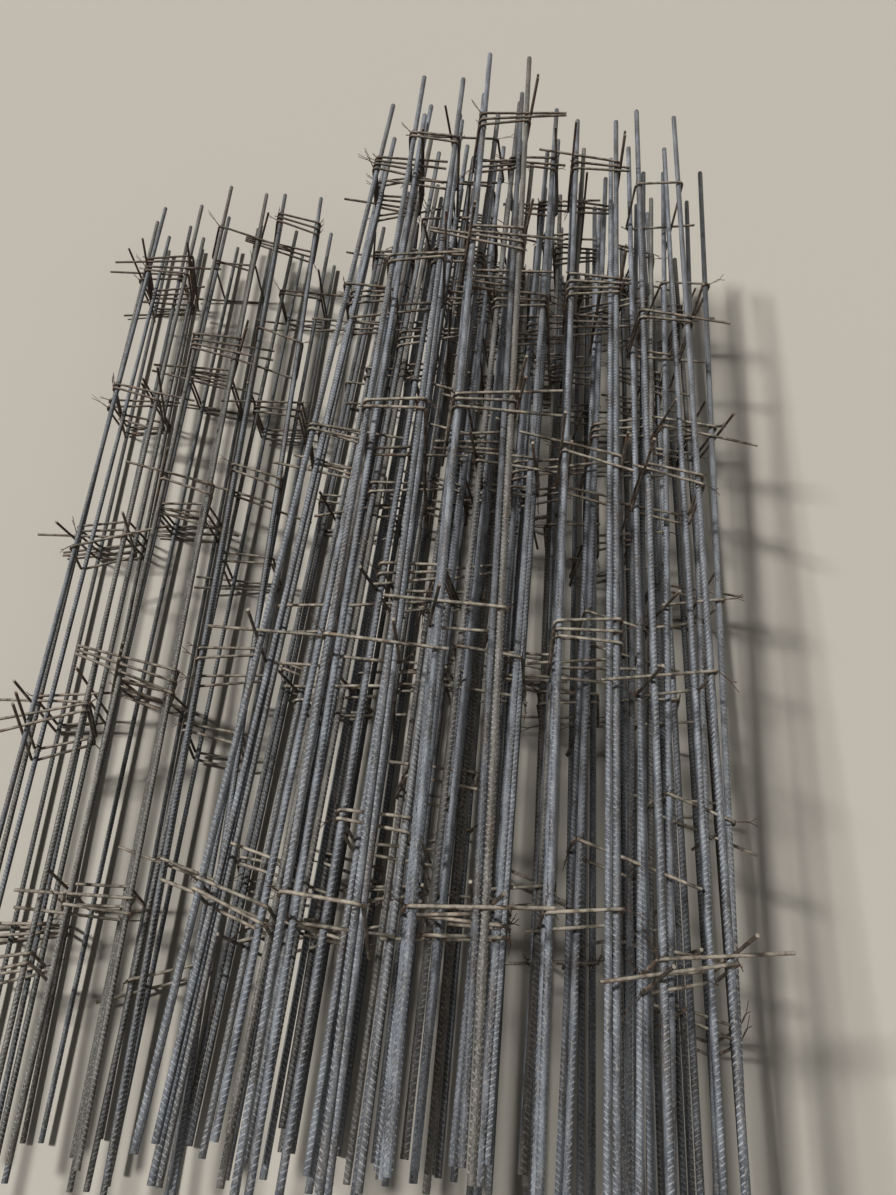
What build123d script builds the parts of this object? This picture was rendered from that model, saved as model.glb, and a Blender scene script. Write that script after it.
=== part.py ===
from build123d import *
import math
import os
import random
import numpy as np

os.makedirs("parts", exist_ok=True)

# A heap of column cages. Each cage is four long bars inside square ties of thin wire.
# Y runs along the bars from their near ends, Z is up and the heap lies on a level floor.

# Stock and cage sizes
cage_length = 2700.0
bar_diameters = dict(main=14.0, side=12.0)
tie_sides = dict(main=140.0, side=140.0)
tie_wire = 6.5
tie_spacing = 500.0
first_tie = 500.0
end_margin = 110.0
spare_tie_gap = 22.0
bar_end_scatter = 25.0

# How many ties may share a place: in the near third of a cage, the middle and the far third,
# where the spare ones are pushed together
tie_counts = ((1, 1, 1, 2, 2), (1, 1, 2, 2, 3), (1, 2, 3, 4))

# Ties stand askew on the bars: slope of a tie's plane in steps, and the most steps that it has
# across the cage and up it. Ties that share a place fan out by one step each
askew_step = 0.08
askew_across = 4
askew_up = 2

# Clearances between pieces that touch
tie_fit = 0.3
rest_fit = 0.5
tail_fit = 1.5

# Straight wire ends that stick out at the corner where a tie closes
tail_lengths = (95.0, 70.0, 46.0, 26.0, 5.0)

# Rows of cages in the order in which they were thrown down: where the first one's near and
# far ends lie across the heap, the gaps beside it, its turn about its own length, the lean
# of its ties out of square, how far the row slid and each next cage with it, and how
# loosely it was thrown
rows = (
    dict(pile="main", count=6, near=-450.0, near_gap=44.0, far=-165.0, far_gap=30.0,
         roll=1.0, lean=8.0, slide=-20.0, skew=-30.0, loose=0.2),
    dict(pile="side", count=3, near=-905.0, near_gap=12.0, far=-930.0, far_gap=100.0,
         roll=3.0, lean=-8.0, slide=-60.0, skew=0.0, loose=0.3),
    dict(pile="main", count=5, near=-360.0, near_gap=44.0, far=-60.0, far_gap=22.0,
         roll=3.0, lean=-12.0, slide=-10.0, skew=-30.0, loose=0.3),
    dict(pile="side", count=3, near=-880.0, near_gap=14.0, far=-860.0, far_gap=50.0,
         roll=8.0, lean=8.0, slide=-50.0, skew=0.0, loose=0.6),
    dict(pile="main", count=6, near=-440.0, near_gap=28.0, far=-150.0, far_gap=32.0,
         roll=-4.0, lean=8.0, slide=-30.0, skew=-30.0, loose=0.4),
    dict(pile="main", count=5, near=-365.0, near_gap=44.0, far=-70.0, far_gap=30.0,
         roll=10.0, lean=-8.0, slide=0.0, skew=-35.0, loose=0.8),
    dict(pile="main", count=2, near=-230.0, near_gap=60.0, far=-10.0, far_gap=40.0,
         roll=6.0, lean=4.0, slide=-70.0, skew=0.0, loose=0.6),
)
scatter_seed = 7
place_scatter = 8.0
lean_step = 4.0
lean_steps = 1.4
tie_shift = 30.0
phase_scatter = 170.0
roll_scatter = 16.0
slide_scatter = 55.0

# How finely the settling looks along the bars, how strongly a cage keeps its own place,
# and how closely it is let down on what carries it
coarse_step = 300.0
fine_step = 30.0
keep_place = 0.3
slide_reach = 70.0
search_steps = (40.0, 20.0, 10.0, 5.0, 2.0)
corner_chords = 4
edge_chords = 8
fewest_places = 3
near_enough = 0.05
touching_within = 0.15
lift_share = 1.2
half_way = 0.5
search_margin = 60.0
seat_rounds = 60
parallel_limit = 1e-6

# Room that a wire end needs, and how far off its line its own tie may lie
tail_floor_gap = 13.0
tail_search = 13.0
own_wire_share = 0.6


# Outline of one cage across its length

def bar_pitch(pile):
    return tie_sides[pile] - 2 * (tie_wire + tie_fit) - bar_diameters[pile]


def bend_radius(pile):
    return bar_diameters[pile] / 2 + tie_fit + tie_wire / 2


def bar_corners(pile, lean):
    pitch = bar_pitch(pile)
    slope = math.radians(lean)
    along = np.array((pitch, 0.0))
    upward = np.array((pitch * math.sin(slope), pitch * math.cos(slope)))
    signs = ((-1, -1), (1, -1), (1, 1), (-1, 1))
    return np.array([(s * along + t * upward) / 2 for s, t in signs])


def turned(points, roll):
    angle = math.radians(roll)
    x, z = points[:, 0], points[:, 1]
    return np.column_stack((
        x * math.cos(angle) + z * math.sin(angle),
        z * math.cos(angle) - x * math.sin(angle),
    ))


# Corner points of the tie's wire, seen along the bars, closing at one corner

def tie_corners(pile, lean, closing, tails, askew):
    bars = np.roll(bar_corners(pile, lean), -closing, axis=0)
    reach = bend_radius(pile)
    runs = np.roll(bars, -1, axis=0) - bars
    runs /= np.linalg.norm(runs, axis=1)[:, None]
    outward = np.column_stack((runs[:, 1], -runs[:, 0]))
    corners = []
    for index in range(4):
        before = outward[index - 1]
        after = outward[index]
        corners.append(bars[index] + reach * (before + after) / (1 + before @ after))
    corners.append(corners[0])
    lengths = np.linalg.norm(np.diff(corners, axis=0), axis=1)
    climb = (tie_wire + tie_fit) * math.hypot(1, *askew) / lengths.sum()
    depths = climb * (np.concatenate(((0.0,), np.cumsum(lengths))) - lengths.sum() / 2)
    points = [(x, depth, z) for (x, z), depth in zip(corners, depths)]
    for end, run, sign in ((0, runs[0], -1), (4, runs[3], 1)):
        tail = tails[0] if end == 0 else tails[1]
        x, depth, z = points[end]
        points[end] = (
            x + sign * tail * run[0],
            depth + sign * tail * climb,
            z + sign * tail * run[1],
        )
    points = np.array(points)
    points[:, 1] += points[:, (0, 2)] @ askew
    return points


# The same wire as short straight runs, for measuring how close it comes to other pieces

def tie_runs(points, radius):
    runs = [points[0]]
    for before, corner, after in zip(points, points[1:], points[2:]):
        inward = (corner - before) / np.linalg.norm(corner - before)
        onward = (after - corner) / np.linalg.norm(after - corner)
        turn = math.acos(np.clip(inward @ onward, -1, 1))
        side = onward - (inward @ onward) * inward
        side /= np.linalg.norm(side)
        start = corner - inward * radius * math.tan(turn / 2)
        for chord in range(corner_chords + 1):
            angle = turn * chord / corner_chords
            runs.append(start + radius * (math.sin(angle) * inward + (1 - math.cos(angle)) * side))
    runs.append(points[-1])
    return np.array(runs)


# Edge of the wire's cut end, as a ring of chords

def cut_edge(tip, inward):
    side = np.cross(inward, (0.0, 1.0, 0.0))
    side /= np.linalg.norm(side)
    angles = np.linspace(0, 2 * math.pi, edge_chords + 1)[:, None]
    radius = tie_wire / 2 / math.cos(math.pi / edge_chords)
    return tip + radius * (np.cos(angles) * side + np.sin(angles) * np.cross(inward, side))


# One cage: its bars and ties in its own frame, and where it lies

class Cage:
    def __init__(self, name, row, number, chance):
        scatter = chance.uniform
        self.name = name
        self.pile = row["pile"]
        self.bar_diameter = bar_diameters[self.pile]
        loose = row["loose"]
        self.lean = row["lean"] + lean_step * round(loose * scatter(-lean_steps, lean_steps))
        self.roll = row["roll"] + loose * scatter(-roll_scatter, roll_scatter)
        side = tie_sides[self.pile]
        self.near_x = row["near"] + number * (side + row["near_gap"])
        self.far_x = row["far"] + number * (side + row["far_gap"])
        self.near_x += loose * scatter(-place_scatter, place_scatter)
        self.far_x += loose * scatter(-place_scatter, place_scatter)
        self.near_y = row["slide"] + number * row["skew"] + scatter(-slide_scatter, slide_scatter)
        self.near_z = 0.0
        self.far_z = 0.0
        self.corners = turned(bar_corners(self.pile, self.lean), self.roll)
        self.bar_starts = [scatter(-bar_end_scatter, bar_end_scatter) for _ in range(4)]
        self.ties = []
        self.add_ties(random.Random(f"{name} {scatter_seed}"))

    def add_ties(self, chance):
        scatter = chance.uniform
        place = first_tie + scatter(-phase_scatter, phase_scatter)
        while place < cage_length - end_margin:
            middle = place + scatter(-tie_shift, tie_shift)
            third = int(len(tie_counts) * middle / cage_length)
            across = chance.randint(-askew_across, askew_across)
            up = chance.randint(-askew_up, askew_up)
            fan = -1 if across > 0 else 1
            for copy in range(chance.choice(tie_counts[third])):
                self.ties.append(dict(
                    along=middle + copy * spare_tie_gap,
                    closing=chance.randrange(4),
                    tails=[tail_lengths[-1], tail_lengths[-1]],
                    askew=(askew_step * (across + fan * copy), askew_step * up),
                ))
            place += tie_spacing

    def rise(self):
        flat = cage_length ** 2 - (self.far_x - self.near_x) ** 2 - (self.far_z - self.near_z) ** 2
        return math.sqrt(flat)

    def far_y(self):
        return self.near_y + self.rise()

    def frame(self):
        origin = np.array((self.near_x, self.near_y, self.near_z))
        far = np.array((self.far_x, self.far_y(), self.far_z))
        forward = (far - origin) / cage_length
        across = np.array((forward[1], -forward[0], 0.0))
        across /= np.linalg.norm(across)
        return origin, across, forward, np.cross(across, forward)

    def placed(self, points):
        origin, across, forward, upward = self.frame()
        return origin + points @ np.array((across, forward, upward))

    def tie_points(self, tie):
        points = tie_corners(self.pile, self.lean, tie["closing"], tie["tails"], tie["askew"])
        flat = turned(points[:, (0, 2)], self.roll)
        return np.column_stack((flat[:, 0], points[:, 1] + tie["along"], flat[:, 1]))

    # Every bar and straight run of wire as start, end and radius
    def rods(self):
        starts, ends, radii = [], [], []
        for (x, z), start in zip(self.corners, self.bar_starts):
            starts.append((x, start, z))
            ends.append((x, start + cage_length, z))
            radii.append(self.bar_diameter / 2)
        for tie in self.ties:
            wire = tie_runs(self.tie_points(tie), bend_radius(self.pile))
            for end, beside in ((0, 1), (-1, -2)):
                inward = (wire[beside] - wire[end]) / np.linalg.norm(wire[beside] - wire[end])
                ring = cut_edge(wire[end], inward)
                starts.extend(ring[:-1])
                ends.extend(ring[1:])
                radii.extend([0.0] * edge_chords)
                wire[end] += inward * tie_wire / 2
            starts.extend(wire[:-1])
            ends.extend(wire[1:])
            radii.extend([tie_wire / 2] * (len(wire) - 1))
        return self.placed(np.array(starts)), self.placed(np.array(ends)), np.array(radii)

    # How far the cage reaches beyond its bar centres at each place along Y, with the
    # shortest wire ends that its ties can have
    def girth(self, places):
        reach = np.full(len(places), self.bar_diameter / 2)
        swing = abs(self.far_x - self.near_x) / cage_length
        for tie in self.ties:
            slope = swing + sum(map(abs, tie["askew"]))
            zone = tie_wire + tie_sides[self.pile] / 2 * slope
            middle = self.near_y + tie["along"] * self.rise() / cage_length
            near = np.abs(places - middle) <= zone
            reach[near] = bend_radius(self.pile) + tail_lengths[-1]
        return reach


# Smallest convex outline round some points, going anticlockwise

def outline(points):
    points = sorted(map(tuple, points))
    halves = []
    for ordered in (points, points[::-1]):
        half = []
        for point in ordered:
            while len(half) > 1 and turn_of(half[-2], half[-1], point) <= 0:
                half.pop()
            half.append(point)
        halves.append(half[:-1])
    return halves[0] + halves[1]


def turn_of(a, b, c):
    return (b[0] - a[0]) * (c[1] - a[1]) - (b[1] - a[1]) * (c[0] - a[0])


# Height at which one outline just rests on another, for sideways offsets and reaches

def rest_height(shape, offset, reach):
    height = np.full(len(offset), -np.inf)
    for start, end in zip(shape, shape[1:] + shape[:1]):
        beside = np.abs(offset - start[0]) < reach
        bulge = np.sqrt(np.maximum(reach ** 2 - (offset - start[0]) ** 2, 0))
        height = np.where(beside, np.maximum(height, start[1] + bulge), height)
        width = end[0] - start[0]
        if width < 0:
            rise = end[1] - start[1]
            length = math.hypot(width, rise)
            normal = (rise / length, -width / length)
            shifted = offset - start[0] - normal[0] * reach
            level = start[1] + normal[1] * reach + shifted * rise / width
            above = (shifted <= 0) & (shifted >= width)
            height = np.where(above, np.maximum(height, level), height)
    return height


# Line on which a cage comes to rest: the support points to each side of its middle

def rest_line(places, heights, middle):
    points = [(y, z) for y, z in zip(places, heights) if z > -np.inf]
    upper = []
    for point in sorted(points):
        while len(upper) > 1 and turn_of(upper[-2], upper[-1], point) >= 0:
            upper.pop()
        upper.append(point)
    for left, right in zip(upper, upper[1:]):
        if left[0] <= middle <= right[0]:
            return left, right
    return upper[0], upper[-1]


def drop(cage, resting, step):
    start, end = cage.near_y, cage.near_y + cage.rise()
    places = np.linspace(start, end, max(fewest_places, int((end - start) / step)))
    edges = [start + tie["along"] + side * tie_wire for tie in cage.ties for side in (-1, 1)]
    places = np.sort(np.concatenate((places, edges)))
    share = (places - start) / (end - start)
    x = cage.near_x + share * (cage.far_x - cage.near_x)
    reach = cage.girth(places)
    heights = reach - cage.corners[:, 1].min()
    stretch = math.hypot(cage.far_x - cage.near_x, cage.rise()) / cage.rise()
    for other in resting:
        other_end = other.near_y + other.rise()
        part = (places - other.near_y) / (other_end - other.near_y)
        other_x = other.near_x + part * (other.far_x - other.near_x)
        other_z = other.near_z + part * (other.far_z - other.near_z)
        if np.abs(x - other_x).min() > tie_sides[cage.pile] + tie_sides[other.pile]:
            continue
        shape = outline([(a - b) * (stretch, 1) for a in other.corners for b in cage.corners])
        needed = (reach + other.girth(places) + rest_fit) * stretch
        height = other_z + rest_height(shape, x - other_x, needed)
        height[(part < 0) | (part > 1)] = -np.inf
        heights = np.maximum(heights, height)
    left, right = rest_line(places, heights, (start + end) / 2)
    slope = (right[1] - left[1]) / (right[0] - left[0])
    cage.near_z = left[1] + slope * (start - left[0])
    cage.far_z = left[1] + slope * (end - left[0])
    return (cage.near_z + cage.far_z) / 2


# A cage slides sideways at either end as long as that lets it sink

def roll_down(cage, resting):
    wish = (cage.near_x, cage.far_x)

    def effort(near_x, far_x):
        cage.near_x, cage.far_x = near_x, far_x
        moved = abs(near_x - wish[0]) + abs(far_x - wish[1])
        return drop(cage, resting, coarse_step) + keep_place * moved / 2

    best = wish
    least = effort(*best)
    for step in search_steps:
        improved = True
        while improved:
            improved = False
            for near, far in ((1, 1), (-1, -1), (1, 0), (-1, 0), (0, 1), (0, -1)):
                trial = (best[0] + near * step, best[1] + far * step)
                if max(abs(trial[0] - wish[0]), abs(trial[1] - wish[1])) > slide_reach:
                    continue
                value = effort(*trial)
                if value < least - near_enough:
                    best, least, improved = trial, value, True
    cage.near_x, cage.far_x = best
    drop(cage, resting, fine_step)


# Gaps between many pairs of rods at once

def rod_gaps(first, second):
    a0, a1, ra = first
    b0, b1, rb = second
    along_a = a1 - a0
    along_b = b1 - b0
    apart = a0 - b0
    aa = np.einsum("ij,ij->i", along_a, along_a)
    bb = np.einsum("ij,ij->i", along_b, along_b)
    ab = np.einsum("ij,ij->i", along_a, along_b)
    ca = np.einsum("ij,ij->i", along_a, apart)
    cb = np.einsum("ij,ij->i", along_b, apart)
    cross = aa * bb - ab * ab
    level = cross > parallel_limit * aa * bb
    s = np.where(level, (ab * cb - ca * bb) / np.where(level, cross, 1.0), 0.0).clip(0, 1)
    t = ((ab * s + cb) / bb).clip(0, 1)
    s = ((ab * t - ca) / aa).clip(0, 1)
    between = apart + along_a * s[:, None] - along_b * t[:, None]
    places = a0[:, 1] + along_a[:, 1] * s
    return np.linalg.norm(between, axis=1) - ra - rb, places


def close_pairs(rods, others, margin):
    low = np.minimum(rods[0], rods[1]) - rods[2][:, None] - margin
    high = np.maximum(rods[0], rods[1]) + rods[2][:, None] + margin
    other_low = np.minimum(others[0], others[1]) - others[2][:, None]
    other_high = np.maximum(others[0], others[1]) + others[2][:, None]
    touching = np.ones((len(low), len(other_low)), bool)
    for axis in range(3):
        touching &= low[:, None, axis] <= other_high[None, :, axis]
        touching &= high[:, None, axis] >= other_low[None, :, axis]
    return np.nonzero(touching)


def joined(rod_sets):
    return tuple(np.concatenate(column) for column in zip(*rod_sets))


def chosen(rods, index):
    return tuple(column[index] for column in rods)


# Spare gap under each nearby pair, and how far along the cage it is

def spare_gaps(cage, others, mine):
    rods = cage.rods()
    lowest = np.minimum(rods[0][:, 2], rods[1][:, 2]) - rods[2]
    ends = (rods[0][:, 1] + rods[1][:, 1]) / 2
    if others is not None:
        gaps, places = rod_gaps(chosen(rods, mine), others)
        lowest = np.concatenate((lowest, gaps - rest_fit))
        ends = np.concatenate((ends, places))
    return lowest, (ends - cage.near_y) / cage.rise()


def shift_ends(cage, near, far):
    cage.near_z += near
    cage.far_z += far


# Let the cage down to its first support, then tip it about that until a second one,
# on the other side of its middle, stops it

def seat(cage, resting):
    others, mine = None, None
    if resting:
        everything = joined([other.lying for other in resting])
        mine, theirs = close_pairs(cage.rods(), everything, search_margin)
        others = chosen(everything, theirs) if len(mine) else None
    for _ in range(seat_rounds):
        spare, along = spare_gaps(cage, others, mine)
        least = spare.min()
        if least < 0:
            lift = near_enough - lift_share * least
            shift_ends(cage, lift, lift)
            continue
        if least > near_enough:
            shift_ends(cage, -least, -least)
            continue
        pivot = along[spare.argmin()]
        touching = along[spare <= touching_within]
        if touching.min() <= half_way <= touching.max():
            break
        beyond = along < pivot if pivot > half_way else along > pivot
        angle = (spare[beyond] / np.abs(along[beyond] - pivot)).min()
        sign = 1 if pivot > half_way else -1
        shift_ends(cage, -sign * angle * pivot, sign * angle * (1 - pivot))
    cage.lying = cage.rods()


# Longest tails that stay clear of every other piece

def grow_tails(cage, cages):
    others = joined([other.lying for other in cages])
    for tie in cage.ties:
        for end in (0, 1):
            for length in tail_lengths[:-1]:
                tails = list(tie["tails"])
                tails[end] = length
                trial = dict(tie, tails=tails)
                points = cage.placed(cage.tie_points(trial))
                tip, root = (points[0], points[1]) if end == 0 else (points[4], points[3])
                reach = length - tail_lengths[-1]
                base = tip + (root - tip) / np.linalg.norm(root - tip) * reach
                rod = (base[None], tip[None], np.array((tie_wire / 2,)))
                mine, theirs = close_pairs(rod, others, tail_search)
                found = rod_gaps(chosen(rod, mine), chosen(others, theirs))[0]
                own = own_wire(others, theirs, tip, base)
                clear = found[~own].min() if (~own).any() else tail_fit
                if clear >= tail_fit and tip[2] > tail_floor_gap:
                    tie["tails"] = tails
                    break
    cage.lying = cage.rods()


# Pieces in line with a tail are the wire that it grows from

def own_wire(others, picked, tip, base):
    way = (tip - base) / np.linalg.norm(tip - base)
    start = others[0][picked] - base
    end = others[1][picked] - base
    off_start = np.linalg.norm(start - (start @ way)[:, None] * way, axis=1)
    off_end = np.linalg.norm(end - (end @ way)[:, None] * way, axis=1)
    reach = own_wire_share * tie_wire
    return (off_start < reach) & (off_end < reach)


def lay_rows(chance):
    resting = []
    for row in rows:
        for number in range(row["count"]):
            already = sum(cage.name.startswith(row["pile"]) for cage in resting)
            name = f"{row['pile']}_cage_{already + 1:02d}"
            cage = Cage(name, row, number, chance)
            roll_down(cage, resting)
            seat(cage, resting)
            resting.append(cage)
    return resting


# Solids

tie_shapes = {}


def tie_solid(pile, lean, closing, tails, askew):
    key = (pile, lean, closing, *tails, *askew)
    if key not in tie_shapes:
        points = [tuple(point) for point in tie_corners(pile, lean, closing, tails, askew)]
        path = FilletPolyline(*points, radius=bend_radius(pile))
        section = Plane(origin=path @ 0, z_dir=path % 0) * Circle(tie_wire / 2)
        tie_shapes[key] = sweep(section, path=path).solids()[0]
    return tie_shapes[key]


def cage_solids(cage, shift):
    origin, across, forward, upward = cage.frame()
    lie = Plane(origin=tuple(origin + shift), x_dir=tuple(across), z_dir=tuple(upward)).location
    bars = []
    for (x, z), start in zip(cage.corners, cage.bar_starts):
        end = Location((x, start, z), (-90, 0, 0))
        bar = Cylinder(cage.bar_diameter / 2, cage_length, align=(Align.CENTER, Align.CENTER, Align.MIN))
        bars.append(lie * end * bar)
    ties = []
    for tie in cage.ties:
        half_turn = tie["closing"] // 2
        askew = [-slope if half_turn else slope for slope in tie["askew"]]
        solid = tie_solid(cage.pile, cage.lean, tie["closing"] % 2, tie["tails"], askew)
        place = Location((0, tie["along"], 0), (0, cage.roll + 180.0 * half_turn, 0))
        ties.append(lie * place * solid)
    return bars, ties


chance = random.Random(scatter_seed)
cages = lay_rows(chance)
for cage in cages:
    grow_tails(cage, cages)

# The origin is under the middle of the heap, on the floor
everything = joined([cage.lying for cage in cages])
low = (np.minimum(everything[0], everything[1]) - everything[2][:, None]).min(axis=0)
high = (np.maximum(everything[0], everything[1]) + everything[2][:, None]).max(axis=0)
shift = np.array((-(low[0] + high[0]) / 2, -(low[1] + high[1]) / 2, -low[2]))
for cage in cages:
    bars, ties = cage_solids(cage, shift)
    export_step(Compound(children=bars), f"parts/{cage.name}_bars.step")
    export_step(Compound(children=ties), f"parts/{cage.name}_ties.step")
print(len(cages), "cages", [round(float(v)) for v in high - low])
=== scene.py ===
import math
import random

import bmesh
import bpy
from mathutils import Matrix, Vector


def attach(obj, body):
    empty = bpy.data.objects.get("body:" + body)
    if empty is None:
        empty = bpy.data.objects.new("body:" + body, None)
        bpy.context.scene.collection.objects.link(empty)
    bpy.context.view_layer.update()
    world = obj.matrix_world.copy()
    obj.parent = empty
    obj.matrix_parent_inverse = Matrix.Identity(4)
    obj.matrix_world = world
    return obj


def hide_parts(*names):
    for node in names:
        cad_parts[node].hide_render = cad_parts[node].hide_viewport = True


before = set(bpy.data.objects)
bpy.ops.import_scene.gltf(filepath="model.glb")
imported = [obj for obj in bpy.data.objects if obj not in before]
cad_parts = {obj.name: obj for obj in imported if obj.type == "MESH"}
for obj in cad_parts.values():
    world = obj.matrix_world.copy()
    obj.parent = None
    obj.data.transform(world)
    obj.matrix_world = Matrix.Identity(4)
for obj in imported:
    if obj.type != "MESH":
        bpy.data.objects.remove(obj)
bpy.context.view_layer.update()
print("frame loaded,", len(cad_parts), "nodes")

shuffle = random.Random(1)
mm = 0.001


# colour and nodes

# an sRGB hex colour as linear light
def linear(hexColour):
    channels = [int(hexColour[i:i + 2], 16) / 255 for i in (1, 3, 5)]
    light = [c / 12.92 if c <= 0.04045 else ((c + 0.055) / 1.055) ** 2.4 for c in channels]
    return light + [1.0]


# a setting is one of the node's sockets, by name or number, or one of its options. "stops" are
# colours, or plain shares, along a ramp
def addNode(owner, kind, settings=None, links=None):
    node = owner.node_tree.nodes.new(kind)
    for name, value in (settings or {}).items():
        value = linear(value) if isinstance(value, str) and value.startswith("#") else value
        if name == "stops":
            elements = node.color_ramp.elements
            for index, (place, colour) in enumerate(value):
                element = elements[index] if index < 2 else elements.new(place)
                element.position = place
                element.color = (linear(colour) if isinstance(colour, str)
                                 else [colour] * 3 + [1.0])
        elif isinstance(name, int) or name in node.inputs:
            node.inputs[name].default_value = value
        else:
            setattr(node, name, value)
    for name, source in (links or {}).items():
        output = source if isinstance(source, bpy.types.NodeSocket) else shownOutput(source)
        owner.node_tree.links.new(output, node.inputs[name])
    return node


# a mix of colours gives its result on its third socket, every other node here on its first
def shownOutput(node):
    return node.outputs[2 if node.bl_idname == "ShaderNodeMix" else 0]


# a mix of colours takes its share on socket 0 and its two colours on sockets 6 and 7
mixed = {"data_type": "RGBA"}
multiplied = {"data_type": "RGBA", "blend_type": "MULTIPLY", 0: 1.0}

reliefStrength = 0.7            # of every material's bump


def startMaterial(name):
    material = bpy.data.materials.new(name)
    material.use_nodes = True
    material.node_tree.nodes.clear()
    return material


def perMetre(grainMm):
    return 1 / (grainMm * mm)


def finishMaterial(material, colour, roughness, metallic, grain, reliefMm):
    relief = addNode(material, "ShaderNodeBump",
                     {"Strength": reliefStrength, "Distance": reliefMm * mm}, {"Height": grain})
    shader = addNode(material, "ShaderNodeBsdfPrincipled", {"Metallic": metallic},
                     {"Base Color": colour, "Roughness": roughness, "Normal": relief})
    addNode(material, "ShaderNodeOutputMaterial", links={"Surface": shader})
    return material


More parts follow.
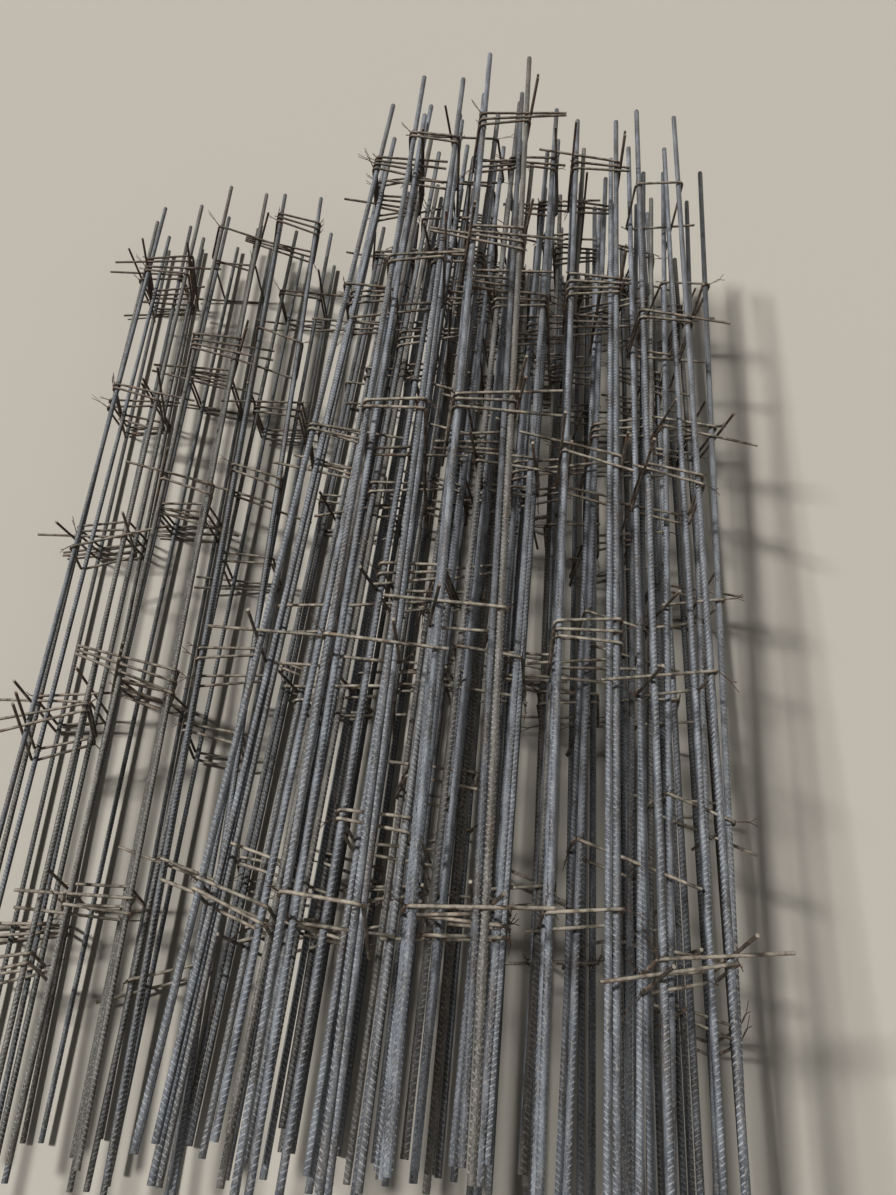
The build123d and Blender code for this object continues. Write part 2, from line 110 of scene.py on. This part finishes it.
# hot-rolled bar: blue-grey mill scale with a dull sheen, pale along the crests of the ribs from
# wear and a painted highlight, darker between the ribs from dirt and painted shade, with brown
# rust that creeps out of the pores and grey dust on top.
# The bars are darker towards the floor with painted shade. Some bars have lain longer and are tan
# all over
def hotRolledBar():
    look = {
        "patchMm": 20.0,
        "alongBars": 0.3,           # under 1 draws the patches out along the bars
        "cool": ((0.33, "#424b58"), (0.5, "#848e9f"), (0.68, "#bac4d1")),
        "tan": ((0.33, "#524c47"), (0.5, "#8b8379"), (0.68, "#b4ab9f")),
        "tanShare": ((0.16, 0.9), (0.26, 0.08)),             # by the bar's own tone
        "shade": ((0.0, 0.8), (0.3, 0.55), (1.0, 1.0)),      # by the bar's own tone
        "rustMm": 70.0,
        "rustShare": ((0.52, 0.0), (0.68, 0.7)),
        "mottleMm": 9.0,
        "rust": ((0.4, "#3c2c25"), (0.6, "#6b4c39")),
        "pitMm": 2.2,
        "pitDepthMm": 0.15,
        "pitShare": ((0.56, 0.0), (0.68, 0.6)),
        "pit": "#1d1e20",
        "paintedShadeTopMm": 450.0,            # height over the floor up to which painted shade darkens the bars
        "paintedShadeAtFloor": 0.4,              # brightness left at the floor
        "ribDirtAndShade": ((0.1, 0.55), (0.6, 1.0)),                 # dirt and painted shade between the ribs
        # the crests of the ribs are paler: wear from handling, and a painted highlight for their
        # glint
        "crestWearAndGlintShare": ((0.2, 0.0), (0.6, 0.75)),
        "crestWearAndGlint": "#c3c8cf",
        "speckMm": 3.4,
        "dustShare": ((0.5, 0.08), (0.66, 0.5)),
        "dustFacing": {"From Min": 0.1, "From Max": 0.95},   # from upright to level
        "dust": "#b3afa5",
        "roughness": ((0.3, 0.58), (0.7, 0.78)),
        "metallic": 0.15,
    }
    material = startMaterial("hotRolledBarMillScale")
    place = addNode(material, "ShaderNodeTexCoord").outputs["Object"]
    along = addNode(material, "ShaderNodeMapping", {"Scale": (1.0, look["alongBars"], 1.0)},
                    {"Vector": place})
    tone, crest = [
        addNode(material, "ShaderNodeAttribute", {"attribute_name": name}).outputs["Fac"]
        for name in ("barTone", "ribCrest")]
    patches = addNode(material, "ShaderNodeTexNoise",
                      {"Scale": perMetre(look["patchMm"]), "Detail": 5.0}, {"Vector": along})
    cool = addNode(material, "ShaderNodeValToRGB", {"stops": look["cool"]}, {"Fac": patches})
    tan = addNode(material, "ShaderNodeValToRGB", {"stops": look["tan"]}, {"Fac": patches})
    tanShare = addNode(material, "ShaderNodeValToRGB", {"stops": look["tanShare"]}, {"Fac": tone})
    scale = addNode(material, "ShaderNodeMix", mixed, {0: tanShare, 6: cool, 7: tan})
    shade = addNode(material, "ShaderNodeValToRGB", {"stops": look["shade"]}, {"Fac": tone})
    scale = addNode(material, "ShaderNodeMix", multiplied, {6: scale, 7: shade})
    creeping = addNode(material, "ShaderNodeTexNoise",
                       {"Scale": perMetre(look["rustMm"]), "Detail": 7.0, "Roughness": 0.68},
                       {"Vector": along})
    rustShare = addNode(material, "ShaderNodeValToRGB", {"stops": look["rustShare"]},
                        {"Fac": creeping})
    mottle = addNode(material, "ShaderNodeTexNoise",
                     {"Scale": perMetre(look["mottleMm"]), "Detail": 4.0}, {"Vector": place})
    rust = addNode(material, "ShaderNodeValToRGB", {"stops": look["rust"]}, {"Fac": mottle})
    colour = addNode(material, "ShaderNodeMix", mixed, {0: rustShare, 6: scale, 7: rust})
    pores = addNode(material, "ShaderNodeTexNoise",
                    {"Scale": perMetre(look["pitMm"]), "Detail": 2.0}, {"Vector": place})
    pits = addNode(material, "ShaderNodeValToRGB", {"stops": look["pitShare"]}, {"Fac": pores})
    colour = addNode(material, "ShaderNodeMix", {**mixed, 7: look["pit"]}, {0: pits, 6: colour})
    # painted shade: the bars grow darker towards the floor, standing for the shade deep in the
    # heap
    above = addNode(material, "ShaderNodeSeparateXYZ", links={"Vector": place}).outputs["Z"]
    paintedLowShade = addNode(material, "ShaderNodeMapRange",
                    {"From Max": look["paintedShadeTopMm"] * mm, "To Min": look["paintedShadeAtFloor"]}, {"Value": above})
    colour = addNode(material, "ShaderNodeMix", multiplied, {6: colour, 7: paintedLowShade})
    # darker between the ribs than on their crests: dirt and painted shade
    ribDirtAndShade = addNode(material, "ShaderNodeValToRGB", {"stops": look["ribDirtAndShade"]}, {"Fac": crest})
    colour = addNode(material, "ShaderNodeMix", multiplied, {6: colour, 7: ribDirtAndShade})
    # paler crests: wear, and a painted highlight standing for the glint of the ribs
    wornAndGlinting = addNode(material, "ShaderNodeMath", {"operation": "MULTIPLY"}, {0: crest, 1: mottle})
    crestWearAndGlint = addNode(material, "ShaderNodeValToRGB", {"stops": look["crestWearAndGlintShare"]},
                     {"Fac": wornAndGlinting})
    colour = addNode(material, "ShaderNodeMix", {**mixed, 7: look["crestWearAndGlint"]},
                     {0: crestWearAndGlint, 6: colour})
    facing = addNode(material, "ShaderNodeNewGeometry").outputs["Normal"]
    height = addNode(material, "ShaderNodeSeparateXYZ", links={"Vector": facing}).outputs["Z"]
    onTop = addNode(material, "ShaderNodeMapRange", look["dustFacing"], {"Value": height})
    specks = addNode(material, "ShaderNodeTexNoise",
                     {"Scale": perMetre(look["speckMm"]), "Detail": 3.0}, {"Vector": place})
    dusty = addNode(material, "ShaderNodeValToRGB", {"stops": look["dustShare"]}, {"Fac": specks})
    dustShare = addNode(material, "ShaderNodeMath", {"operation": "MULTIPLY"},
                        {0: dusty, 1: onTop})
    colour = addNode(material, "ShaderNodeMix", {**mixed, 7: look["dust"]},
                     {0: dustShare, 6: colour})
    roughness = addNode(material, "ShaderNodeValToRGB", {"stops": look["roughness"]},
                        {"Fac": patches})
    return finishMaterial(material, colour, roughness, look["metallic"], pits,
                          -look["pitDepthMm"])


# sheared bar end: bright once, now an even brown rust with a torn lip
def shearedEnd():
    look = {
        "grainMm": 3.0,
        "rust": ((0.35, "#463127"), (0.65, "#74523f")),
        "tornMm": 1.2,
        "tornDepthMm": 0.3,
        "roughness": ((0.3, 0.6), (0.7, 0.85)),
        "metallic": 0.2,
    }
    material = startMaterial("shearedBarEnd")
    place = addNode(material, "ShaderNodeTexCoord").outputs["Object"]
    grain = addNode(material, "ShaderNodeTexNoise", {"Scale": perMetre(look["grainMm"])},
                    {"Vector": place})
    colour = addNode(material, "ShaderNodeValToRGB", {"stops": look["rust"]}, {"Fac": grain})
    roughness = addNode(material, "ShaderNodeValToRGB", {"stops": look["roughness"]},
                        {"Fac": grain})
    torn = addNode(material, "ShaderNodeTexNoise", {"Scale": perMetre(look["tornMm"])},
                   {"Vector": place})
    return finishMaterial(material, colour, roughness, look["metallic"], torn,
                          look["tornDepthMm"])


# plain wire rod bent cold into ties: the bending cracks its scale off, so it is dark brown-grey
# with rust at the bare spots, and dusty tan where it looks up. The ties at the far ends and in
# the side pile have lain longest, and are darker
def rustedWireRod():
    look = {
        "patchMm": 16.0,
        "body": ((0.34, "#38302a"), (0.5, "#6f6458"), (0.68, "#a1958a")),
        "lotMm": 120.0,             # ties that lie together share a shade
        "lotShade": ((0.42, 0.36), (0.58, 1.0)),
        "freshTo": -0.5,            # in metres of Y less X, which grows towards the far end
        "oldFrom": 1.7,             # and the side pile
        "oldShare": 0.75,
        "old": "#3b2c27",
        "rustMm": 30.0,
        "rustShare": ((0.54, 0.0), (0.7, 0.7)),
        "rust": "#84593d",
        "dustFacing": {"From Min": 0.1, "From Max": 0.9, "To Max": 0.75},   # upright to level
        "dustShare": ((0.38, 0.25), (0.6, 1.0)),
        "dust": "#bdb4a3",
        "grainMm": 1.8,
        "grainDepthMm": 0.25,
        "roughness": ((0.3, 0.55), (0.7, 0.82)),
        "metallic": 0.25,
    }
    material = startMaterial("rustedWireRod")
    place = addNode(material, "ShaderNodeTexCoord").outputs["Object"]
    patches = addNode(material, "ShaderNodeTexNoise",
                      {"Scale": perMetre(look["patchMm"]), "Detail": 6.0, "Roughness": 0.6},
                      {"Vector": place})
    body = addNode(material, "ShaderNodeValToRGB", {"stops": look["body"]}, {"Fac": patches})
    lots = addNode(material, "ShaderNodeTexNoise",
                   {"Scale": perMetre(look["lotMm"]), "Detail": 1.0}, {"Vector": place})
    shade = addNode(material, "ShaderNodeValToRGB", {"stops": look["lotShade"]}, {"Fac": lots})
    body = addNode(material, "ShaderNodeMix", multiplied, {6: body, 7: shade})
    spot = addNode(material, "ShaderNodeSeparateXYZ", links={"Vector": place}).outputs
    away = addNode(material, "ShaderNodeMath", {"operation": "SUBTRACT"},
                   {0: spot["Y"], 1: spot["X"]})
    old = addNode(material, "ShaderNodeMapRange",
                  {"From Min": look["freshTo"], "From Max": look["oldFrom"],
                   "To Max": look["oldShare"]}, {"Value": away})
    body = addNode(material, "ShaderNodeMix", {**mixed, 7: look["old"]}, {0: old, 6: body})
    spots = addNode(material, "ShaderNodeTexNoise",
                    {"Scale": perMetre(look["rustMm"]), "Detail": 6.0, "Roughness": 0.65},
                    {"Vector": place})
    rustShare = addNode(material, "ShaderNodeValToRGB", {"stops": look["rustShare"]},
                        {"Fac": spots})
    colour = addNode(material, "ShaderNodeMix", {**mixed, 7: look["rust"]},
                     {0: rustShare, 6: body})
    facing = addNode(material, "ShaderNodeNewGeometry").outputs["Normal"]
    height = addNode(material, "ShaderNodeSeparateXYZ", links={"Vector": facing}).outputs["Z"]
    onTop = addNode(material, "ShaderNodeMapRange", look["dustFacing"], {"Value": height})
    grain = addNode(material, "ShaderNodeTexNoise",
                    {"Scale": perMetre(look["grainMm"]), "Detail": 2.0}, {"Vector": place})
    young = addNode(material, "ShaderNodeMath", {"operation": "SUBTRACT", 0: 1.0}, {1: old})
    dustShare = addNode(material, "ShaderNodeMath", {"operation": "MULTIPLY"},
                        {0: onTop, 1: young})
    settled = addNode(material, "ShaderNodeValToRGB", {"stops": look["dustShare"]},
                      {"Fac": patches})
    dustShare = addNode(material, "ShaderNodeMath", {"operation": "MULTIPLY"},
                        {0: dustShare, 1: settled})
    colour = addNode(material, "ShaderNodeMix", {**mixed, 7: look["dust"]},
                     {0: dustShare, 6: colour})
    roughness = addNode(material, "ShaderNodeValToRGB", {"stops": look["roughness"]},
                        {"Fac": grain})
    return finishMaterial(material, colour, roughness, look["metallic"], grain,
                          look["grainDepthMm"])


# soft annealed tying wire: black from the furnace, browned in the yard
def annealedWire():
    look = {
        "grainMm": 8.0,
        "grainDepthMm": 0.05,
        "brown": ((0.35, "#242120"), (0.65, "#5f4737")),
        "roughness": ((0.3, 0.5), (0.7, 0.75)),
        "metallic": 0.3,
    }
    material = startMaterial("annealedTyingWire")
    place = addNode(material, "ShaderNodeTexCoord").outputs["Object"]
    grain = addNode(material, "ShaderNodeTexNoise", {"Scale": perMetre(look["grainMm"])},
                    {"Vector": place})
    colour = addNode(material, "ShaderNodeValToRGB", {"stops": look["brown"]}, {"Fac": grain})
    roughness = addNode(material, "ShaderNodeValToRGB", {"stops": look["roughness"]},
                        {"Fac": grain})
    return finishMaterial(material, colour, roughness, look["metallic"], grain,
                          look["grainDepthMm"])


materials = {
    "bar": hotRolledBar(),
    "end": shearedEnd(),
    "tie": rustedWireRod(),
    "knot": annealedWire(),
}
print("materials made")


# the frame's solids

sameSpot = 1e-6                 # in metres: corners of loose triangles this close are one


# corner points of every separate solid in a node's mesh
def looseParts(mesh):
    bm = bmesh.new()
    bm.from_mesh(mesh)
    bmesh.ops.remove_doubles(bm, verts=bm.verts, dist=sameSpot)
    met = set()
    parts = []
    for first in bm.verts:
        if first in met:
            continue
        met.add(first)
        reached = [first]
        part = []
        while reached:
            vert = reached.pop()
            part.append(vert.co.copy())
            for edge in vert.link_edges:
                other = edge.other_vert(vert)
                if other not in met:
                    met.add(other)
                    reached.append(other)
        parts.append(part)
    bm.free()
    return parts


def middle(points):
    return sum(points, Vector()) / len(points)


# near end, far end and diameter of each bar in a node, from the lowest bar up
def findBars(node):
    bars = []
    for part in looseParts(node.data):
        halfway = middle(part).y
        near = middle([point for point in part if point.y < halfway])
        far = middle([point for point in part if point.y > halfway])
        rim = part[0]
        centre = near if rim.y < halfway else far
        bars.append({"near": near, "far": far, "diameter": 2 * (rim - centre).length})
    return sorted(bars, key=lambda bar: (round(bar["near"].z, 4), round(bar["near"].x, 4)))


# matrix that lays a mesh made along +Y from its near end to its far end
def layAlong(near, far, spin=0.0):
    forward = (far - near).normalized()
    across = forward.cross(Vector((0, 0, 1))).normalized()
    upward = across.cross(forward)
    turn = Matrix((across, forward, upward)).transposed().to_4x4()
    return Matrix.Translation(near) @ turn @ Matrix.Rotation(spin, 4, "Y")


def newPiece(name, mesh, slot, *finishes):
    piece = bpy.data.objects.new(name, mesh)
    bpy.context.scene.collection.objects.link(piece)
    for finish in finishes:
        mesh.materials.append(finish)
    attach(piece, "root")
    return piece


# ribbed bar, made once for each diameter along +Y from the origin. Shares are of the nominal
# diameter, where no other is named

barLook = {
    "sides": 16,
    "crossCuts": 11,            # shorter faces let the renderer find its way among the bars
    "coreShare": 0.92,          # across the rod between the ribs
    "pitchShare": 0.7,          # spacing of the ribs
    "firstRib": 0.75,           # place of the first rib, in pitches
    "crestShare": 1.04,         # across the crests of the ribs
    "footShare": 0.32,          # width of a rib at its foot
    "sunkShare": 0.25,          # depth of that foot in the rod, as a share of the rib's height
    "slant": 28.0,              # degrees that a rib leans off square to the bar
    "spread": 74.0,             # degrees that it reaches to each side of its middle
    "steps": 4,                 # faces from tip to tip
    "fullness": 0.6,            # under 1 keeps the crest high almost to its tips
    "seamShare": 0.13,          # width of the two seams along the bar
    "seamReach": 0.97,          # across the seams
    "seamShort": 2 * mm,        # what the seams leave free of the bar's length
    "cutBevel": 0.4 * mm,
    "rimAngle": 1.2,            # in radians: only the rims of the cut ends are as sharp
    "turnedShare": 0.5,         # share of the bars that lie the other way round
}


def addRib(bm, diameter, turn, along):
    core = diameter / 2 * barLook["coreShare"]
    height = diameter / 2 * barLook["crestShare"] - core
    sunk = core - barLook["sunkShare"] * height
    foot = diameter * barLook["footShare"] / 2
    spread = math.radians(barLook["spread"])
    side = 1 if turn else -1                       # ribs on opposite sides lean opposite ways
    lean = math.tan(math.radians(barLook["slant"])) * core * 2 * spread * side
    corners = ((0, -foot, sunk), (0, 0, core + height), (0, foot, sunk))
    profile = [bm.verts.new(corner) for corner in corners]
    edges = [bm.edges.new(pair) for pair in zip(profile, profile[1:])]
    bmesh.ops.rotate(bm, verts=profile, cent=(0, 0, 0), matrix=Matrix.Rotation(-spread, 3, "Y"))
    bmesh.ops.translate(bm, verts=profile, vec=(0, along - lean / 2, 0))
    before = set(bm.verts) - set(profile)
    spun = bmesh.ops.spin(bm, geom=profile + edges, cent=(0, 0, 0), axis=(0, 1, 0),
                          angle=2 * spread, dvec=(0, lean / barLook["steps"], 0),
                          steps=barLook["steps"])
    last = [part for part in spun["geom_last"] if isinstance(part, bmesh.types.BMVert)]
    for tip in (profile, last):                    # each tip is pinched to a point in the rod
        lowest = min(tip, key=lambda vert: vert.co.xz.length)
        bmesh.ops.pointmerge(bm, verts=tip, merge_co=lowest.co)
    rib = [vert for vert in bm.verts if vert not in before]
    for vert in rib:                               # crescent: the crest is lower towards the tips
        radius = vert.co.xz.length
        if radius > core:
            share = math.atan2(vert.co.x, vert.co.z) / spread
            crest = core + height * (1 - share ** 2) ** barLook["fullness"]
            vert.co.x *= crest / radius
            vert.co.z *= crest / radius
    bmesh.ops.rotate(bm, verts=rib, cent=(0, 0, 0), matrix=Matrix.Rotation(turn, 3, "Y"))


def meshFrom(bm, name):
    mesh = bpy.data.meshes.new(name)
    bm.to_mesh(mesh)
    bm.free()
    return mesh


# repeats a mesh along +Y and gives the joined mesh back
def arrayed(mesh, count, spacing):
    source = bpy.data.objects.new("source", mesh)
    bpy.context.scene.collection.objects.link(source)
    rows = source.modifiers.new("rows", "ARRAY")
    rows.count = count
    rows.use_relative_offset = False
    rows.use_constant_offset = True
    rows.constant_offset_displace = (0, spacing, 0)
    evaluated = source.evaluated_get(bpy.context.evaluated_depsgraph_get())
    joined = bpy.data.meshes.new_from_object(evaluated)
    bpy.data.objects.remove(source)
    return joined


def ribbedBar(diameter, length):
    pitch = diameter * barLook["pitchShare"]
    count = int((length - pitch) / pitch)
    bm = bmesh.new()
    addRib(bm, diameter, 0.0, 0.0)
    addRib(bm, diameter, math.pi, pitch / 2)
    bmesh.ops.recalc_face_normals(bm, faces=bm.faces)
    bmesh.ops.translate(bm, verts=bm.verts, vec=(0, pitch * barLook["firstRib"], 0))
    ribs = arrayed(meshFrom(bm, "ribPair"), count, pitch)
    bm = bmesh.new()
    core = diameter / 2 * barLook["coreShare"]
    rod = bmesh.ops.create_cone(bm, cap_ends=True, segments=barLook["sides"], radius1=core,
                                radius2=core, depth=length)["verts"]
    bmesh.ops.rotate(bm, verts=rod, matrix=Matrix.Rotation(math.radians(-90), 3, "X"))
    bmesh.ops.translate(bm, verts=rod, vec=(0, length / 2, 0))
    rims = [edge for edge in bm.edges
            if edge.is_manifold and edge.calc_face_angle() > barLook["rimAngle"]]
    bmesh.ops.bevel(bm, geom=rims, offset=barLook["cutBevel"], affect="EDGES", segments=1,
                    profile=0.5, material=-1)
    for face in bm.faces:                          # only the cut ends have more than 4 corners
        face.smooth = len(face.verts) == 4
        face.material_index = 1 if len(face.verts) > 4 else 0
    seamSize = (diameter * barLook["seamReach"] / 2, length - barLook["seamShort"],
                diameter * barLook["seamShare"])
    for side in (-1, 1):
        seam = bmesh.ops.create_cube(bm, size=1.0)["verts"]
        bmesh.ops.scale(bm, verts=seam, vec=seamSize)
        bmesh.ops.translate(bm, verts=seam, vec=(side * seamSize[0] / 2, length / 2, 0))
    lengthwise = [edge for edge in bm.edges if edge.calc_length() > length / 2]
    bmesh.ops.subdivide_edges(bm, edges=lengthwise, cuts=barLook["crossCuts"],
                              use_grid_fill=True)
    bm.from_mesh(ribs)
    bpy.data.meshes.remove(ribs)
    return meshFrom(bm, "ribbedBar")


barMeshes = {}


# the bar of one diameter, and which of its points lie on a crest
def barMesh(diameter, length):
    key = round(diameter / mm)
    if key not in barMeshes:
        mesh = ribbedBar(diameter, length)
        # radius beyond which a point lies on a crest, which is painted pale for wear and glint
        crestWearAndGlint = diameter / 2 * (barLook["coreShare"] + barLook["crestShare"]) / 2
        crests = [float(math.hypot(vert.co.x, vert.co.z) > crestWearAndGlint) for vert in mesh.vertices]
        barMeshes[key] = mesh, crests
    return barMeshes[key]


def dressBars(name, node, bars):
    bm = bmesh.new()
    tones = []
    allCrests = []
    for bar in bars:
        length = (bar["far"] - bar["near"]).length
        lie = layAlong(bar["near"], bar["far"], shuffle.uniform(0, 2 * math.pi))
        if shuffle.random() < barLook["turnedShare"]:
            lie = layAlong(bar["far"], bar["near"], shuffle.uniform(0, 2 * math.pi))
        mesh, crests = barMesh(bar["diameter"], length)
        copy = mesh.copy()
        copy.transform(lie)
        bm.from_mesh(copy)
        tones += [shuffle.random()] * len(crests)
        allCrests += crests
        bpy.data.meshes.remove(copy)
    mesh = meshFrom(bm, name)
    mesh.attributes.new("barTone", "FLOAT", "POINT").data.foreach_set("value", tones)
    mesh.attributes.new("ribCrest", "FLOAT", "POINT").data.foreach_set("value", allCrests)
    piece = newPiece(name, mesh, "ribbed_bar", materials["bar"], materials["end"])
    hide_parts(node.name)


# tying wire: a ring slantwise round bar and tie, and two ends twisted together that part

knotLook = {
    "wire": 1.6 * mm,
    "ringSteps": 7,
    "ringSlant": 0.8,           # how far it goes along the bar for its way across
    "twists": (0.0, 0.3, 0.6, 1.0),   # places along the ends
    "twistTurns": 0.8,
    "twistGap": 0.55,           # from the twist's middle line to each end, in wires
    "twistTo": 0.3,             # share of the ends' length after which they part
    "spread": 0.35,             # how far the ends part, as a share of their length
    "leanAside": 0.8,           # the most that the ends lean aside, against
    "leanOut": 0.6,             # how far they point outwards
    "tails": (16 * mm, 26 * mm, 40 * mm, 52 * mm),
    "share": 0.75,              # share of the crossings that still show a knot
    "slack": 1 * mm,            # most that a tie stands off a bar it goes round
    "floorClear": 60 * mm,
}


# runs of wire, each a list of points and whether it closes, as one mesh
def wireMesh(runs, thickness):
    curve = bpy.data.curves.new("wire", "CURVE")
    curve.dimensions = "3D"
    curve.bevel_depth = thickness / 2
    curve.bevel_resolution = 0
    curve.use_fill_caps = True
    for points, closed in runs:
        spline = curve.splines.new("POLY")
        spline.points.add(len(points) - 1)
        for control, point in zip(spline.points, points):
            control.co = (*point, 1.0)
        spline.use_cyclic_u = closed
    holder = bpy.data.objects.new("wire", curve)
    bpy.context.scene.collection.objects.link(holder)
    evaluated = holder.evaluated_get(bpy.context.evaluated_depsgraph_get())
    mesh = bpy.data.meshes.new_from_object(evaluated)
    bpy.data.objects.remove(holder)
    return mesh


# made round the origin: the bar along Y, the tie's corner outwards along +Z
def knotMesh(barDiameter, tieWire, tail):
    wire = knotLook["wire"]
    inner = barDiameter / 2 + wire / 2
    outer = inner + tieWire
    ring = []
    for step in range(knotLook["ringSteps"]):
        angle = 2 * math.pi * step / knotLook["ringSteps"]
        across = math.sin(angle) * (inner + wire)
        height = (outer - inner) / 2 + math.cos(angle) * (inner + outer) / 2
        ring.append(Vector((across, across * knotLook["ringSlant"], height)))
    runs = [(ring, True)]
    foot = Vector((0, 0, outer))
    aside = knotLook["leanAside"]
    lean = Vector((shuffle.uniform(-aside, aside), shuffle.uniform(-aside, aside),
                   knotLook["leanOut"])).normalized()
    for strand in (0.0, math.pi):
        points = []
        for share in knotLook["twists"]:
            angle = strand + 2 * math.pi * knotLook["twistTurns"] * share
            parting = max(0.0, share - knotLook["twistTo"]) ** 2
            apart = wire * knotLook["twistGap"] + tail * knotLook["spread"] * parting
            turn = Vector((math.cos(angle), math.sin(angle), 0))
            points.append(foot + lean * tail * share + turn * apart)
        runs.append((points, False))
    return wireMesh(runs, wire)


def nearestOn(bar, point):
    along = bar["far"] - bar["near"]
    share = (point - bar["near"]).dot(along) / along.length_squared
    return bar["near"] + along * share


# where a tie goes round a bar: the middle of those of its points that lie close to the bar
def crossing(bar, tie, reach):
    close = []
    for point in tie:
        foot = nearestOn(bar, point)
        if (point - foot).length < reach:
            close.append(foot)
    return middle(close) if close else None


def tieKnots(name, bars, ties, tieWire):
    bm = bmesh.new()
    shapes = [knotMesh(bars[0]["diameter"], tieWire, tail) for tail in knotLook["tails"]]
    axis = {end: middle([bar[end] for bar in bars]) for end in ("near", "far")}
    for tie in ties:
        for bar in bars:
            reach = bar["diameter"] / 2 + tieWire + knotLook["slack"]
            place = crossing(bar, tie, reach)
            if place is None or shuffle.random() > knotLook["share"]:
                continue
            if place.z < knotLook["floorClear"]:
                continue
            outward = (place - nearestOn(axis, place)).normalized()
            forward = (bar["far"] - bar["near"]).normalized() * shuffle.choice((-1, 1))
            across = forward.cross(outward).normalized()
            turn = Matrix((across, forward, across.cross(forward))).transposed().to_4x4()
            copy = shuffle.choice(shapes).copy()
            copy.transform(Matrix.Translation(place) @ turn)
            bm.from_mesh(copy)
            bpy.data.meshes.remove(copy)
    newPiece(name, meshFrom(bm, name), "tie_wire", materials["knot"])


def dressTies(node):
    node.data.materials.clear()
    node.data.materials.append(materials["tie"])


tieWire = 6.5 * mm
cageNames = sorted(name.removesuffix("_bars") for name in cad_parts
                   if name.endswith("_bars"))
for cage in cageNames:
    shuffle.seed(cage)                             # each cage has its own draws
    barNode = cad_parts[cage + "_bars"]
    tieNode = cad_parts[cage + "_ties"]
    bars = findBars(barNode)
    dressBars(cage + "_ribbed_bars", barNode, bars)
    dressTies(tieNode)
    tieKnots(cage + "_knots", bars, looseParts(tieNode.data), tieWire)
print(len(cageNames), "cages dressed")


# floor, lamps and camera

stageLook = {
    "floor": "#c0b9ad",
    "floorRoughness": 0.9,
    "floorSize": 200.0,
    "backdrop": "#c0b9ad",      # what the camera and the metal see beyond the floor
    "roomLight": "#ffffff",
    "roomStrength": 0.07,
    "keyFrom": (-6.0, 1.6, 8.2),
    "keyAngle": 7.0,            # degrees across, for a soft edge to the shadows
    "keyStrength": 3.35,
    "fillFrom": (5.0, -2.6, 4.6),
    "fillAngle": 35.0,
    "fillStrength": 0.3,
}


def makeFloor():
    bm = bmesh.new()
    bmesh.ops.create_grid(bm, x_segments=1, y_segments=1, size=stageLook["floorSize"] / 2)
    floor = bpy.data.objects.new("floor", meshFrom(bm, "floor"))
    bpy.context.scene.collection.objects.link(floor)
    material = startMaterial("paleFloor")
    shader = addNode(material, "ShaderNodeBsdfPrincipled",
                     {"Base Color": stageLook["floor"], "Roughness": stageLook["floorRoughness"]})
    addNode(material, "ShaderNodeOutputMaterial", links={"Surface": shader})
    floor.data.materials.append(material)


# even light that comes from one side, like that of a large lamp far away
def farLamp(name, comesFrom, angle, strength):
    lamp = bpy.data.lights.new(name, "SUN")
    lamp.angle = math.radians(angle)
    lamp.energy = strength
    holder = bpy.data.objects.new(name, lamp)
    holder.location = comesFrom
    holder.rotation_euler = (-Vector(comesFrom)).to_track_quat("-Z", "Y").to_euler()
    bpy.context.scene.collection.objects.link(holder)


def lightRoom():
    room = bpy.data.worlds.new("room")
    bpy.context.scene.world = room
    room.use_nodes = True
    room.node_tree.nodes.clear()
    rays = addNode(room, "ShaderNodeLightPath").outputs
    seen = addNode(room, "ShaderNodeMath", {"operation": "MAXIMUM"},
                   {0: rays["Is Camera Ray"], 1: rays["Is Glossy Ray"]})
    seen = addNode(room, "ShaderNodeMath", {"operation": "MAXIMUM"},
                   {0: seen, 1: rays["Is Transmission Ray"]})
    light = addNode(room, "ShaderNodeBackground",
                    {"Color": stageLook["roomLight"], "Strength": stageLook["roomStrength"]})
    backdrop = addNode(room, "ShaderNodeBackground", {"Color": stageLook["backdrop"]})
    both = addNode(room, "ShaderNodeMixShader", links={0: seen, 1: light, 2: backdrop})
    addNode(room, "ShaderNodeOutputWorld", links={"Surface": both})
    for lamp in ("key", "fill"):
        farLamp(lamp + "Lamp", stageLook[lamp + "From"], stageLook[lamp + "Angle"],
                stageLook[lamp + "Strength"])


# camera of the photo, looking down on the heap from just past its near ends

shot = {
    "spot": (0.130, -1.242, 2.10),
    "tiltDown": 59.0,           # degrees below level
    "focalPixels": 897.6,
    "pictureHeight": 1195.0,
    "sensor": 36.0,
    "clipEnd": 100.0,
}


def placeCamera():
    view = bpy.data.cameras.new("photoView")
    view.sensor_width = shot["sensor"]
    view.lens = shot["focalPixels"] / shot["pictureHeight"] * shot["sensor"]
    view.clip_end = shot["clipEnd"]
    camera = bpy.data.objects.new("photoView", view)
    camera.location = shot["spot"]
    camera.rotation_euler = (math.radians(90 - shot["tiltDown"]), 0, 0)
    bpy.context.scene.collection.objects.link(camera)
    bpy.context.scene.camera = camera


makeFloor()
lightRoom()
placeCamera()
bpy.context.scene.view_settings.view_transform = "Standard"
print("stage set")
